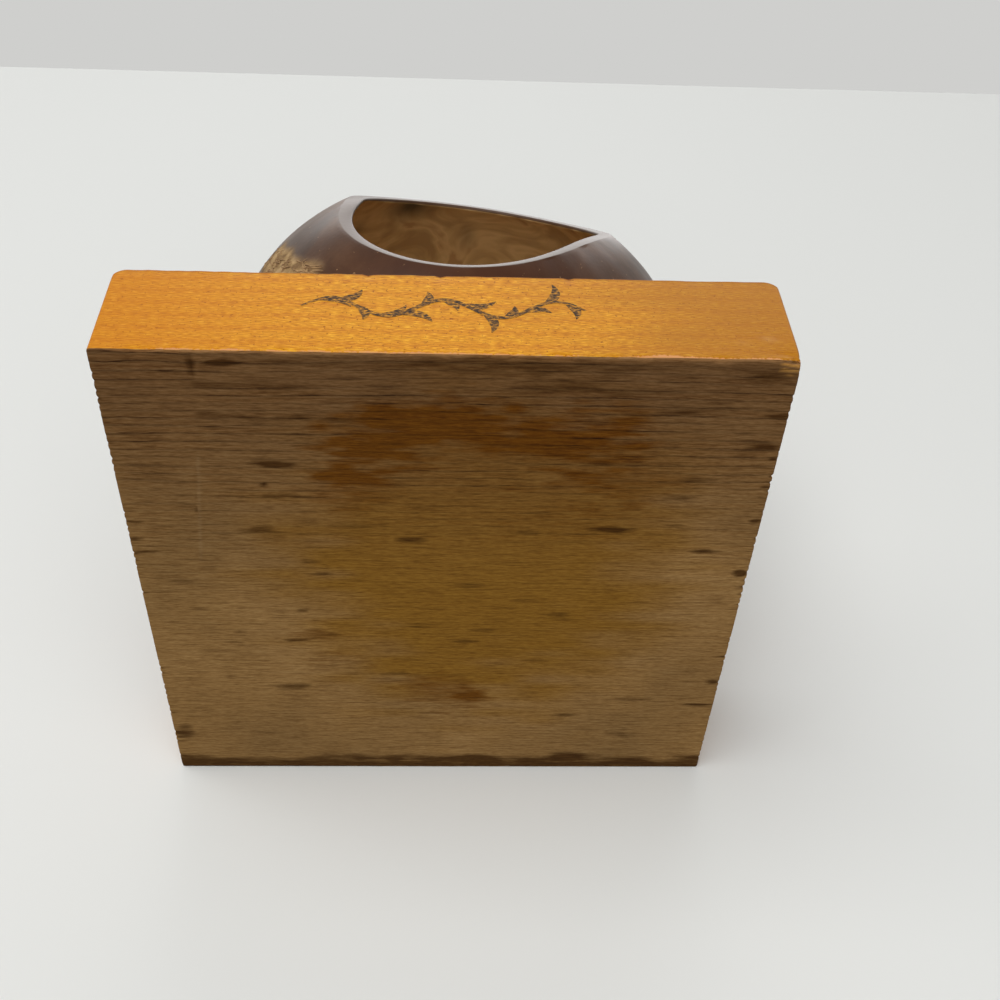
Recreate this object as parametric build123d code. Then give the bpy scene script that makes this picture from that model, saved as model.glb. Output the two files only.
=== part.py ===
from build123d import *
from math import atan2, cos, degrees, radians, sin, sqrt
import os

# A napkin holder: a hollow coconut shell with its mouth to the front, glued and screwed to
# the middle of a square board. Millimetres. +X is right, +Y is back and +Z is up, as seen
# from the front, and the origin is the middle of the board's underside.

# Board
board_width = 100.0
board_depth = 100.0
board_height = 20.0
board_end_radius = 2.4        # of the two top edges at the ends, well sanded
board_face_radius = 1.2       # round the front and back faces, up the corners and along the top
board_bottom_radius = 0.4     # round the sawn underside

# Coconut shell: a ball behind its widest ring and a flatter dome in front of it
shell_radius = 46.0           # of the ball, and of the widest ring
shell_nose = 36.0             # from the widest ring to where the dome's tip was
shell_side_radius = 30.0      # of the dome's bend beside the widest ring
shell_wall = 3.2
mouth_width = 57.0            # across the outside of the lip
lip_share = 0.48              # of the wall, for the lip's rounding: 0.5 is a half circle
shell_tilt = 23.5             # degrees that the mouth looks up
shell_turn = 4.6              # degrees that the mouth looks to the right
shell_shift_right = 1.7       # the ball's centre, from the board's middle
shell_shift_back = 1.0
shell_ground_off = 1.0        # taken off the bottom, which leaves a round flat to stand on
shell_floor_height = 15.6     # of the floor's bowl, whose solid is apart from the rest

# Glue
glue_film = 0.4               # between the shell's flat and the board
glue_bead_height = 1.6        # of the squeezed-out ring, above the board
glue_bead_foot = 1.8          # of the ring, beyond the shell that it touches
glue_bead_radius = 1.2        # of the ring's outer edge

# Round-head wood screw and its washer, in the floor of the shell
screw_radius = 1.75
screw_length = 14.0           # under the head, with the point
screw_point = 3.0
screw_head_radius = 3.4
screw_head_height = 2.2
screw_head_edge = 1.7         # radius of the head's dome
screw_slot_width = 0.9
screw_slot_depth = 1.1
washer_radius = 4.5
washer_thickness = 1.0
hole_clearance = 0.25         # round the screw, in the washer and the shell
pilot_clearance = 0.02        # round the screw, in the glue and the board
pilot_extra_depth = 1.0       # below the screw's point
seat_clearance = 0.02         # under the washer's rim, where it touches the hollow floor

# The dome's cap is an arc about a point on the shell's axis, and it meets the bend smoothly
dome_length = shell_nose - shell_side_radius
dome_reach = shell_radius - shell_side_radius
cap_centre = (dome_length**2 - dome_reach**2) / (2 * dome_length)
cap_radius = shell_nose - cap_centre
cap_angle = degrees(atan2(-cap_centre, dome_reach))

# Heights and places
seat_z = board_height + glue_film
shell_z = seat_z - shell_ground_off + shell_radius
hollow_radius = shell_radius - shell_wall
washer_rise = hollow_radius - sqrt(hollow_radius**2 - washer_radius**2)
washer_z = shell_z - hollow_radius + washer_rise + seat_clearance
screw_top_z = washer_z + washer_thickness
fixing_place = Pos(shell_shift_right, shell_shift_back)

# The shell's own frame: its axis runs out through the mouth
tilt = radians(shell_tilt)
turn = radians(shell_turn)
shell_frame = Plane(
    origin=(shell_shift_right, shell_shift_back, shell_z),
    x_dir=(cos(turn), sin(turn), 0),
    z_dir=(sin(turn) * cos(tilt), -cos(turn) * cos(tilt), sin(tilt)),
)

UP = (Align.CENTER, Align.CENTER, Align.MIN)
DOWN = (Align.CENTER, Align.CENTER, Align.MAX)


def half_section(inset):
    """The shell's solid form cut through its axis, right half, with its nose up; the inset
    draws every side in by the same amount."""
    ball = CenterArc((0, 0), shell_radius - inset, -90, 90)
    bend = CenterArc((dome_reach, 0), shell_side_radius - inset, 0, cap_angle)
    cap = CenterArc((0, cap_centre), cap_radius - inset, cap_angle, 90 - cap_angle)
    return make_face([ball, bend, cap, Line(cap @ 1, ball @ 0)])


def top_edges(solid):
    return solid.faces().sort_by(Axis.Z)[-1].edges()


def bottom_edges(solid):
    return solid.faces().sort_by(Axis.Z)[0].edges()


def make_board():
    """A slab with its two top end edges rounded, then its front, back and underside eased."""
    profile = Rectangle(board_width, board_height, align=(Align.CENTER, Align.MIN))
    profile = fillet(profile.vertices().sort_by(Axis.Y)[-2:], board_end_radius)
    board = extrude(Plane.XZ * profile, board_depth / 2, both=True)
    for face in (board.faces().sort_by(Axis.Y)[0], board.faces().sort_by(Axis.Y)[-1]):
        board = fillet(face.edges().sort_by(Axis.Z)[1:], board_face_radius)
    board = fillet(bottom_edges(board), board_bottom_radius)
    pilot_z = screw_top_z - screw_length - pilot_extra_depth
    pilot = Cylinder(screw_radius + pilot_clearance, board_height, align=UP)
    return board - fixing_place * Pos(0, 0, pilot_z) * pilot


def make_shell():
    """The wall between the outside and the hollow, cut square to itself round the mouth,
    with the lip rounded and the bottom ground flat."""
    wall = half_section(0) - half_section(shell_wall)
    mouth_radius = mouth_width / 2
    mouth_angle = degrees(atan2(sqrt(cap_radius**2 - mouth_radius**2), mouth_radius))
    cut_reach = 2 * cap_radius
    cut = Rectangle(cut_reach, cut_reach, align=(Align.CENTER, Align.MIN))
    wall -= Pos(0, cap_centre) * Rot(0, 0, mouth_angle) * cut
    lip = wall.vertices().sort_by(Axis.Y)[-2:]
    wall = fillet(lip, lip_share * shell_wall)
    shell = shell_frame * revolve(Plane.XZ * wall, Axis.Z)
    ground = Box(2 * shell_radius, 2 * shell_radius, shell_radius, align=DOWN)
    hole = Cylinder(screw_radius + hole_clearance, 4 * shell_wall)
    return shell - fixing_place * Pos(0, 0, seat_z) * (ground + hole)


def shell_solid(side):
    """The one shell's solid on one side of the level where the floor's bowl ends: the two
    solids meet there all round, and together they are the whole wall."""
    reach = 4 * shell_radius
    beyond = Box(reach, reach, reach, align=side)
    return whole_shell & Pos(0, 0, seat_z + shell_floor_height) * beyond


def make_glue():
    """A film under the shell's flat, with the ring that squeezed out round it."""
    bead_depth = shell_z - board_height - glue_bead_height
    touch_radius = sqrt(shell_radius**2 - bead_depth**2)
    bead = Cylinder(touch_radius + glue_bead_foot, glue_bead_height, align=UP)
    bead = fillet(top_edges(bead), glue_bead_radius)
    hole = Cylinder(screw_radius + pilot_clearance, 4 * glue_bead_height)
    bead = fixing_place * Pos(0, 0, board_height) * (bead - hole)
    above_seat = Box(2 * shell_radius, 2 * shell_radius, 2 * shell_radius, align=UP)
    ball = fixing_place * Pos(0, 0, shell_z) * Sphere(shell_radius)
    return bead - (ball & fixing_place * Pos(0, 0, seat_z) * above_seat)


def make_washer():
    washer = Cylinder(washer_radius, washer_thickness, align=UP)
    washer -= Cylinder(screw_radius + hole_clearance, 4 * washer_thickness)
    return fixing_place * Pos(0, 0, washer_z) * washer


def make_screw():
    """A slotted screw drawn at its core size, with its head upwards."""
    head = Cylinder(screw_head_radius, screw_head_height, align=UP)
    head = fillet(top_edges(head), screw_head_edge)
    slot = Box(4 * screw_head_radius, screw_slot_width, screw_slot_depth, align=DOWN)
    head -= Pos(0, 0, screw_head_height) * slot
    shank = Cylinder(screw_radius, screw_length - screw_point, align=DOWN)
    point = Pos(0, 0, screw_point - screw_length) * Cone(0, screw_radius, screw_point, align=DOWN)
    return fixing_place * Pos(0, 0, screw_top_z) * (head + shank + point)


whole_shell = make_shell()
parts = {
    "base_board": make_board(),
    "coconut_shell": shell_solid(UP),
    "coconut_shell_floor": shell_solid(DOWN),
    "glue_bed": make_glue(),
    "screw_washer": make_washer(),
    "fixing_screw": make_screw(),
}

os.makedirs("parts", exist_ok=True)
for name, shape in parts.items():
    export_step(shape, f"parts/{name}.step")
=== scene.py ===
import math

import bpy
import numpy as np
from mathutils import Matrix, Vector


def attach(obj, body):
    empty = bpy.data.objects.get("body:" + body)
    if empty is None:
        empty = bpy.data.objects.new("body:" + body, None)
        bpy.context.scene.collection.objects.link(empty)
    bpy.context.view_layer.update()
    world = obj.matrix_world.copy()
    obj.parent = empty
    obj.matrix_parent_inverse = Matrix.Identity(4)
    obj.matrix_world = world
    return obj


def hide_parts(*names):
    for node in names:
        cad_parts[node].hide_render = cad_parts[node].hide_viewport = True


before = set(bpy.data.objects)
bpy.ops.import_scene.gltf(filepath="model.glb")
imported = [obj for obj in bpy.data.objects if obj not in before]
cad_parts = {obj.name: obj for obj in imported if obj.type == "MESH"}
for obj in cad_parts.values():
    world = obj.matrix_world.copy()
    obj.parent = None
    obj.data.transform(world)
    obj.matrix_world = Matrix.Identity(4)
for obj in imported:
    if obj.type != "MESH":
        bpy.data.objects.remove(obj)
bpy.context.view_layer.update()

# Camera.
# A phone's view of the holder lying on its back: from low in front of the board, looking up
# at its underside and its front face. Places are millimetres in the object's own frame.
MM = 0.001
LENS_MM = 45.0
SENSOR_MM = 36.0
EYE_MM = Vector((-1.043, -156.374, -139.484))
LOOK = Vector((0.04791, 0.69231, 0.72001)).normalized()
HEAD_UP = Vector((-0.01167, -0.72040, 0.69346))

right_hand = LOOK.cross(HEAD_UP).normalized()
head_up = right_hand.cross(LOOK)
lens = bpy.data.cameras.new("phone_camera")
lens.lens = LENS_MM
lens.sensor_width = SENSOR_MM
lens.clip_start = 0.01
lens.clip_end = 20.0
camera = bpy.data.objects.new("phone_camera", lens)
turned = Matrix((right_hand, head_up, -LOOK)).transposed().to_4x4()
camera.matrix_world = Matrix.Translation(EYE_MM * MM) @ turned
bpy.context.scene.collection.objects.link(camera)
bpy.context.scene.camera = camera
bpy.context.scene.view_settings.view_transform = "Standard"

# Base board.
# A square of pine about 100 mm wide and 20 mm thick, cut with a saw and left bare underneath,
# with its edges sanded round and an amber varnish brushed on its front, sides and top.
BOARD_HALF = 50.0
BOARD_HIGH = 20.0
CORNER_ROUND = 0.5            # the four upright corners
FRONT_ROUND = 0.4             # the top edge along the front and the back
END_ROUND = 2.2               # the top edge at the two ends
UNDER_ROUND = 0.3             # the edge round the underside
SAW_PITCH = 1.55              # from one deep saw mark to the next
SAW_DEPTH_FRONT = 0.09        # of the marks near the front edge
SAW_DEPTH_BACK = 0.02         # of the marks near the back edge
TEAR_DEPTH = 0.38             # of the notches where the saw tore out of the two ends
LABEL_EDGE = ((-37.2, -30.8), (-39.5, -8.1))   # a faint pressed line left by a label's edge
EDGE_STEPS = np.array([0, 0.03, 0.1, 0.2, 0.3, 0.4, 0.6, 0.8, 1.0, 1.3, 1.6, 2.0, 2.4])
HEIGHT_STEPS = np.array([0, 0.25, 0.5, 0.8, 1.2, 1.7, 2.3, 3.0, 4.0])
NICKS = np.array([-12.2, -1.4, 18.0])     # dents in the front top edge, places along X
NICK_HALF_WIDTH = 0.9
NICK_DEPTH = 0.12
EDGE_ROUGH = 0.07             # unevenness of the sanded top edge at the front
CHIP_DEPTH = 0.18             # of the chips along the bottom edge of the front
TOP_ROW = 19.7                # one more row of points, just under the top edge


def linear(code, alpha=1.0):
    """An sRGB hex colour as the linear colour that a shader takes."""
    parts = np.array([int(code[k:k + 2], 16) for k in (0, 2, 4)]) / 255
    low = parts / 12.92
    high = ((parts + 0.055) / 1.055) ** 2.4
    return (*np.where(parts <= 0.04045, low, high), alpha)


def add(tree, kind, inputs={}, stops=(), **settings):
    """Adds a node, sets its properties, and fills its inputs by name or place with a value or
    with another node's output. The stops are a colour ramp's places and hex colours."""
    node = tree.nodes.new(kind)
    for name, value in settings.items():
        setattr(node, name, value)
    for place, value in inputs.items():
        if isinstance(value, bpy.types.NodeSocket):
            tree.links.new(value, node.inputs[place])
        else:
            node.inputs[place].default_value = value
    for k, (place, code) in enumerate(stops):
        ramp = node.color_ramp.elements
        mark = ramp[k] if k < 2 else ramp.new(place)
        mark.position = place
        mark.color = linear(code)
    return node


def new_material(name):
    """A named material with one Principled shader, its tree, and object coordinates in mm."""
    material = bpy.data.materials.new(name)
    material.use_nodes = True
    tree = material.node_tree
    tree.nodes.clear()
    shader = add(tree, "ShaderNodeBsdfPrincipled")
    add(tree, "ShaderNodeOutputMaterial", {"Surface": shader.outputs[0]})
    place = add(tree, "ShaderNodeTexCoord").outputs["Object"]
    mm = add(tree, "ShaderNodeVectorMath", {0: place, "Scale": 1 / MM}, operation="SCALE")
    return material, tree, shader, mm.outputs[0]


def make_piece(name, points, faces, material, marks={}):
    """A smooth mesh from points in mm and its faces, with one value a point for each mark."""
    mesh = bpy.data.meshes.new(name)
    mesh.from_pydata(np.asarray(points, float) * MM, [], faces)
    mesh.polygons.foreach_set("use_smooth", np.ones(len(mesh.polygons), bool))
    for label, values in marks.items():
        kind = "FLOAT" if values.ndim == 1 else "FLOAT_VECTOR"
        field = "value" if values.ndim == 1 else "vector"
        layer = mesh.attributes.new(label, kind, "POINT")
        layer.data.foreach_set(field, np.ascontiguousarray(values, np.float32).ravel())
    mesh.materials.append(material)
    mesh.update()
    made = bpy.data.objects.new(name, mesh)
    bpy.context.scene.collection.objects.link(made)
    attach(made, "root")
    return made


def grid_quads(rows, columns, ring=False):
    """Quads of a grid stored row by row, whose columns may close into a ring. A quad turns
    from the row direction to the column direction."""
    r, c = np.meshgrid(np.arange(rows - 1), np.arange(columns - (not ring)), indexing="ij")
    r, c = r.ravel(), c.ravel()
    d = (c + 1) % columns
    return np.stack([r * columns + c, (r + 1) * columns + c,
                     (r + 1) * columns + d, r * columns + d], 1)


def wander(u, v, seed):
    """Smooth random values from -1 to 1 over two numbers: a table of random heights one unit
    apart, joined by a smoothstep blend between the four round a point."""
    size = 256
    table = np.random.default_rng(seed).uniform(-1, 1, (size, size))
    i, j = np.floor(u).astype(int), np.floor(v).astype(int)
    a, b = u - i, v - j
    a, b = a * a * (3 - 2 * a), b * b * (3 - 2 * b)
    i, j, k, l = i % size, j % size, (i + 1) % size, (j + 1) % size
    near = table[i, j] * (1 - a) + table[k, j] * a
    far = table[i, l] * (1 - a) + table[k, l] * a
    return near * (1 - b) + far * b


def step(value, start, end):
    """0 before start and 1 after end, with a smooth change between them."""
    t = np.clip((value - start) / (end - start), 0, 1)
    return t * t * (3 - 2 * t)


def grid_lines(pitch, extra=()):
    """Lines across the board: close together inside the rounded edges, a pitch apart between
    them, with extra lines where they are asked for."""
    reach = BOARD_HALF - EDGE_STEPS[-1]
    middle = np.linspace(-reach, reach, round(2 * reach / pitch) + 1)[1:-1]
    edge = BOARD_HALF - EDGE_STEPS
    return np.unique(np.round(np.concatenate([-edge, middle, edge, extra]), 4))


def arc_drop(depth, radius):
    """How far a quarter round lies below its flat, at a depth inwards from its edge."""
    inwards = np.minimum(depth, radius)
    return radius - np.sqrt(radius**2 - (radius - inwards) ** 2)


nick_lines = (NICKS[:, None] + NICK_HALF_WIDTH * np.array([-1, -0.4, 0, 0.4, 1])).ravel()
label_lines = np.arange(LABEL_EDGE[1][0] - 0.9, LABEL_EDGE[0][0] + 1.0, 0.3)
x_lines = grid_lines(0.9, np.concatenate([nick_lines, label_lines]))
y_lines = grid_lines(0.45)
upper = np.linspace(HEIGHT_STEPS[-1], BOARD_HIGH, 16)[1:]
z_lines = np.sort(np.concatenate([HEIGHT_STEPS, upper, [TOP_ROW]]))
counts = (len(x_lines), len(y_lines), len(z_lines))

# The six sides of a block share their edge points, so the board is one closed skin
corners, turns, passed = [], [], 0
for axis in range(3):
    second, third = (axis + 1) % 3, (axis + 2) % 3
    for end in (0, counts[axis] - 1):
        p, q = np.meshgrid(np.arange(counts[second]), np.arange(counts[third]), indexing="ij")
        triple = np.empty((p.size, 3), int)
        triple[:, axis] = end
        triple[:, second] = p.ravel()
        triple[:, third] = q.ravel()
        side_quads = grid_quads(counts[second], counts[third])
        corners.append(triple)
        turns.append((side_quads if end else side_quads[:, ::-1]) + passed)
        passed += p.size
lattice, merged = np.unique(np.vstack(corners), axis=0, return_inverse=True)
board_faces = merged.ravel()[np.vstack(turns)]

x0, y0, z0 = x_lines[lattice[:, 0]], y_lines[lattice[:, 1]], z_lines[lattice[:, 2]]
is_under = lattice[:, 2] == 0
height_share = z0 / BOARD_HIGH

# Upright corners: within the corner's square, a point moves along its ray to a quarter disc
over_x = x0 - np.clip(x0, -BOARD_HALF + CORNER_ROUND, BOARD_HALF - CORNER_ROUND)
over_y = y0 - np.clip(y0, -BOARD_HALF + CORNER_ROUND, BOARD_HALF - CORNER_ROUND)
longest = np.maximum(abs(over_x), abs(over_y))
shrink = longest / np.maximum(np.hypot(over_x, over_y), 1e-9) - 1
x = x0 + over_x * shrink
y = y0 + over_y * shrink

# Top and bottom edges: the skin's top falls and its bottom rises along quarter rounds
rim_depth = np.minimum(BOARD_HALF - abs(x0), BOARD_HALF - abs(y0))
drop = arc_drop(BOARD_HALF - abs(x), END_ROUND) + arc_drop(BOARD_HALF - abs(y), FRONT_ROUND)
lift = arc_drop(rim_depth, UNDER_ROUND)
z = lift + height_share * (BOARD_HIGH - drop - lift)

# Saw marks: sharp-bottomed furrows along X that wander a little and fade to the back
wobble = 0.5 * wander(x0 / 34, y0 / 9, 11) + 0.12 * wander(x0 / 7, y0 / 2, 12)
saw_count = y0 / SAW_PITCH + wobble
wave = 0.5 + 0.5 * np.cos(2 * np.pi * saw_count)
strength = 0.35 + 0.65 * step(wander(x0 / 22, y0 / SAW_PITCH, 13), -0.6, 0.7)
back_share = step(y0, -50, 5)
saw_depth = SAW_DEPTH_FRONT + (SAW_DEPTH_BACK - SAW_DEPTH_FRONT) * back_share
fine_marks = 0.03 * (0.5 + 0.5 * wander(x0 / 16, y0 / 0.5, 14))
furrow = saw_depth * wave**3 * strength + fine_marks
z += np.where(is_under, furrow, 0)

# Torn fibres along the underside's two ends, where the saw came out, and at one corner
end_random = step(wander(y0 / 2.3, np.sign(x0) * 3 + 9.3, 15), -0.3, 0.8)
notch = wave**4 * end_random
tear = TEAR_DEPTH * notch * (1 - step(z0, 0.3, 1.8))
at_ends = step(abs(x0), BOARD_HALF - 0.7, BOARD_HALF - 0.1)
x -= np.sign(x0) * tear * at_ends
corner_near = np.exp(-(((x0 - 49.4) / 2.0) ** 2 + ((y0 + 50) / 1.8) ** 2 + (z0 / 2.0) ** 2))
splinters = 0.35 + 0.65 * step(wander(x0 / 5, z0 / 0.4 + y0 / 0.6, 16), -0.2, 0.4)
x -= 0.55 * corner_near * splinters
y += 0.50 * corner_near * splinters
z += np.where(is_under, 0.45 * corner_near * splinters, 0)

# Dents and roughness in the front top edge, and chips along the front bottom edge
dent = sum(np.clip(1 - abs(x0 - place) / NICK_HALF_WIDTH, 0, 1) for place in NICKS)
front_top = np.exp(-(((y0 + 50) / 0.5) ** 2 + ((z0 - BOARD_HIGH) / 0.8) ** 2))
worn_away = NICK_DEPTH * dent + EDGE_ROUGH * (0.5 + 0.5 * wander(x0 / 1.4, x0 * 0 + 7.1, 20))
z -= worn_away * front_top
y += worn_away * front_top
front_low = np.exp(-(((y0 + 50) / 0.5) ** 2 + (z0 / 0.5) ** 2))
chip = CHIP_DEPTH * step(wander(x0 / 1.3, x0 * 0 + 2.7, 22), -0.1, 0.8) * front_low
y += chip
z += np.where(is_under, chip, 0)

# Stains on the underside: place along X and Y, half length and half width, and strength.
# Amber ones are varnish or glue that soaked in, and dark ones are scorched or dirty wood.
AMBER_STAINS = [
    (-14.5, -25, 7, 8, 0.45), (-11, -33, 9, 7, 0.5), (2, -38, 14, 5, 0.6),
    (-4, -36, 8, 4, 0.4), (18, -35, 13, 7, 0.45), (14, -34, 5, 1.6, 0.4), (20, -27, 8, 3, 0.4),
    (28, -27, 9, 9, 0.3), (8, -34, 30, 9, 0.25), (16, -18, 16, 7, 0.2),
    (-0.6, 25.7, 9, 7, 0.4), (4.9, 28.6, 4, 4, 0.4), (-20, 17, 8, 3, 0.25),
    (-22, 10.7, 5, 1.8, 0.45),
]
DARK_STAINS = [
    (4, -2.6, 3.6, 0.9, 0.5), (19.6, 4.8, 3.6, 1.0, 0.5), (-21.4, 10.4, 5, 1.8, 0.25),
    (-30, -15, 5.5, 0.9, 0.6), (-15, -16.4, 5, 1.3, 0.35), (-5.8, -13.2, 3.5, 0.8, 0.7),
    (27.6, -15.9, 4.6, 0.9, 0.85), (41.2, -11.1, 3.6, 0.8, 0.8), (36, -17, 2.6, 0.5, 0.6),
    (13, -15, 3.2, 0.9, 0.5), (36, -23, 4.5, 1.0, 0.5), (38, -27, 4.0, 0.7, 0.45),
    (-26.7, 25, 4.2, 1.1, 0.6), (-38, 22, 2.4, 0.5, 0.5), (34, 28.4, 5.0, 1.1, 0.5),
    (16, 17, 4.5, 0.8, 0.4), (7, 9, 3.6, 0.6, 0.4), (-6, 17, 3.6, 0.5, 0.45),
    (-20, -5, 2.4, 0.8, 0.55), (-22, -8, 2.0, 0.6, 0.45), (-5, 8, 3.4, 0.6, 0.45),
    (-43, -3, 3.2, 0.5, 0.45), (-35, 10, 2.0, 0.9, 0.35), (24, 24, 2.2, 0.7, 0.4),
    (-48, 38.7, 2.6, 2.6, 0.55), (-28, -25, 0.8, 0.6, 0.9), (-26, -29, 6, 0.6, 0.5),
    (-26, -22.5, 5.0, 0.6, 0.55), (-32, -44, 17, 1.0, 0.45), (-31.5, -48.1, 3.8, 0.5, 0.8),
    (-36, -47.7, 0.9, 2.4, 0.8), (22, -44, 18, 1.0, 0.3), (10, -48.3, 44, 1.6, 0.45),
    (-20, -38, 13, 0.7, 0.45), (-34, -38.4, 5, 0.7, 0.5), (31, -40, 11, 0.8, 0.4),
    (-21.4, -38.3, 3.2, 0.6, 0.5), (-25.5, -29.2, 6, 0.8, 0.5), (48.3, -39.8, 2.4, 0.45, 1.0),
    (49.2, -31.5, 1.2, 0.5, 0.8), (49, -18.3, 1.2, 0.5, 0.8), (49.2, -25.7, 1.0, 0.4, 0.7),
    (16, -45, 9, 2.2, 0.35), (36, -41, 7, 1.2, 0.35), (25, -30, 6, 0.7, 0.4),
    (-47.6, -9.8, 3.4, 0.32, 1.0), (-48.9, -12.8, 2.0, 0.32, 0.9), (-48.8, -16.5, 2, 0.32, 0.8),
    (47.5, 29.8, 3.2, 0.35, 1.0), (48.5, 23, 1.6, 1.0, 0.6), (47.5, -34, 3.5, 0.8, 0.8),
    (48.6, -6, 1.2, 1.0, 0.8), (44, -47, 6, 1.2, 0.5), (24, 46, 6, 1.4, 0.35),
    (34, 39, 4, 1.6, 0.35), (6, 47, 14, 1.2, 0.4), (-12, 46.5, 7, 1.2, 0.35),
    (22, 33, 6, 0.8, 0.45), (-24, 4, 1.4, 0.8, 0.6), (-26, 12, 2.6, 0.7, 0.5),
    (-36, 12.5, 2.6, 0.6, 0.45), (-40, 4, 3.0, 0.6, 0.45), (14, 1, 4, 0.7, 0.4),
    (4, 12, 2.6, 0.6, 0.5), (-9, 21, 3, 0.6, 0.4), (28, 20, 3, 0.6, 0.4),
]
BACK_SHADE_FROM = 46.8              # the band of painted shade along the back edge starts about here


def stain(places, seed):
    """Soft ellipses with ragged, grainy outlines, added up where they overlap."""
    total = np.zeros_like(x0)
    ragged = 0.35 * wander(x0 / 3.2, y0 / 0.9, seed) + 0.2 * wander(x0 / 9, y0 / 3, seed + 1)
    for across, back, half_long, half_wide, amount in places:
        far = np.hypot((x0 - across) / half_long, (y0 - back) / half_wide)
        total += amount * (1 - step(far + ragged, 0.2, 1.3))
    return np.clip(total, 0, 1)


under_amount = 1 - step(z0 + np.where(rim_depth > 0.01, 0, 0.1), 0, 0.3)
under_amount = np.maximum(under_amount * (z0 < 1), step(corner_near * splinters, 0.3, 0.7))
worn_noise = wander(x0 / 2.2, y0 / 2.2, 19)

# The label's pressed edge, the splinters' fresh wood, and ticks where the saw tore the ends
(label_x, label_y), (label_end_x, label_end_y) = LABEL_EDGE
label_share = np.clip((y0 - label_y) / (label_end_y - label_y), 0, 1)
from_label = x0 - label_x - label_share * (label_end_x - label_x)
label_span = step(y0, label_y - 1, label_y + 1) * (1 - step(y0, label_end_y - 1, label_end_y + 1))
label_ridge = np.exp(-((from_label - 0.15) / 0.28) ** 2) * label_span
label_dots = (np.exp(-((from_label + 0.35) / 0.32) ** 2) * label_span
              * step(wander(x0 * 0 + 5.5, y0 / 1.6, 17), -0.1, 0.6))
z -= np.where(is_under, 0.05 * label_ridge, 0)
z = np.maximum(z, 0)
splinter_near = np.exp(-(((x0 - 49.0) / 2.1) ** 2 + ((y0 + 49.2) / 1.7) ** 2))
splinter_lines = step(np.sin(2 * np.pi * (y0 / 0.95 - (x0 - 50) / 7)), -0.3, 0.5)
ticks = notch * step(abs(x0), 47.6 + 1.4 * wander(y0 / 0.8, x0 * 0 + 1, 18), BOARD_HALF)
on_front = y0 < -49
bottom_front = np.exp(-(((z0 - 0.2) / 0.4) ** 2)) * on_front
red_patch = np.exp(-(((x0 - 30.4) / 2.6) ** 2 + ((z0 - 0.6) / 0.6) ** 2)) * on_front
scratch_far = (x0 - 44.4) - 5.2 * (z0 - 4.6)
scratch = np.exp(-((scratch_far / 1.1) ** 2 + ((x0 - 44.4) / 1.6) ** 2)) * on_front
top_line = np.exp(-((z0 - BOARD_HIGH) / 0.25) ** 2) * on_front * (0.45 + 0.5 * dent)
# Partly stain and partly painted shade: the bare underside darkens towards its front edge
front_end_stain_and_shade = np.where(is_under, 1 - step(y0, -50, 2), 0)
soaked = 1 - step(np.hypot((x0 - 6) / 40, (y0 + 8) / 48) + 0.18 * wander(x0 / 9, y0 / 2.5, 29),
                  0.45, 1.05)
# Painted shade: a darker band along the underside's back edge, added into the dark stains' share
back_edge_painted_shade = step(y0 + 1.2 * wander(x0 / 6, y0 / 2, 27), BACK_SHADE_FROM - 2, BACK_SHADE_FROM + 1.5)
dark = 0.8 * stain(DARK_STAINS, 24) + 0.7 * ticks + 0.45 * label_dots + 0.6 * back_edge_painted_shade

# Each mark is the share of one colour that the wood takes at a point
board_marks = {
    "bare": under_amount,
    "soaked": 0.9 * soaked,
    # painted shade with some stain, darker towards the underside's front edge
    "front_end_stain_and_shade": 0.75 * front_end_stain_and_shade,
    "amber": 0.85 * stain(AMBER_STAINS, 21),
    "dark": np.clip(dark, 0, 0.9),
    "pale": 0.14 * label_ridge,
    "fresh": np.where(is_under, 0.85 * step(splinter_near, 0.25, 0.6) * splinter_lines, 0),
    # Painted shade: the varnished wood darkens towards both ends, leaving its middle brighter as
    # under a broad highlight
    "left_end_painted_shade": 0.5 * step(-x0, 10, 50),
    "right_end_painted_shade": 0.7 * step(x0 + 8 * wander(x0 / 11, z0 / 5, 28), 5, 50),
    "top_line": top_line,
    "scratch": 0.5 * scratch,
    "worn": np.clip(bottom_front * (0.52 + 0.3 * worn_noise) + 0.5 * red_patch, 0, 1),
    "dull": np.maximum(under_amount, top_line),
    "saw_count": saw_count,
    # where the saw furrows' painted shade and painted highlight show
    "furrow": np.where(is_under, strength * (0.15 + 0.85 * (1 - back_share)), 0),
}

# Pine, sawn: straight grain along X with soft dashes, aged grey-brown where it is handled and
# darker in the furrows with painted shade. Varnished: the same pine under clear amber lacquer, a
# satin gloss.
RING_PITCH = 2.4              # mm between growth rings
LINE_PITCH = 0.42             # mm between the fine lines that a saw or a brush left
DASH_PITCH = 0.2              # mm between the short bright dashes under the lacquer
SPECK_PITCH = 0.5             # mm across the dark specks of dust in the lacquer
pine, tree, shader, mm = new_material("pine_sawn_below_amber_varnished_above")
marks = {label: add(tree, "ShaderNodeAttribute", attribute_name=label).outputs["Fac"]
         for label in board_marks}
long_grain = add(tree, "ShaderNodeVectorMath", {0: mm, 1: (0.07, 1, 1)},
                 operation="MULTIPLY")
short_grain = add(tree, "ShaderNodeVectorMath", {0: mm, 1: (0.15, 1, 1)},
                  operation="MULTIPLY")
heart = add(tree, "ShaderNodeMapping", {"Vector": mm, "Location": (0, -15, 70)})
rings = add(tree, "ShaderNodeTexWave", {"Vector": heart.outputs[0], "Scale": 0.314 / RING_PITCH,
            "Distortion": 1.4, "Detail": 2, "Detail Scale": 0.4}, wave_type="RINGS",
            rings_direction="X")
lines = add(tree, "ShaderNodeTexNoise", {"Vector": long_grain.outputs[0],
            "Scale": 1 / LINE_PITCH, "Detail": 5, "Roughness": 0.7})
dashes = add(tree, "ShaderNodeTexNoise", {"Vector": short_grain.outputs[0],
             "Scale": 1 / DASH_PITCH, "Detail": 2, "Roughness": 0.55})
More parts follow.
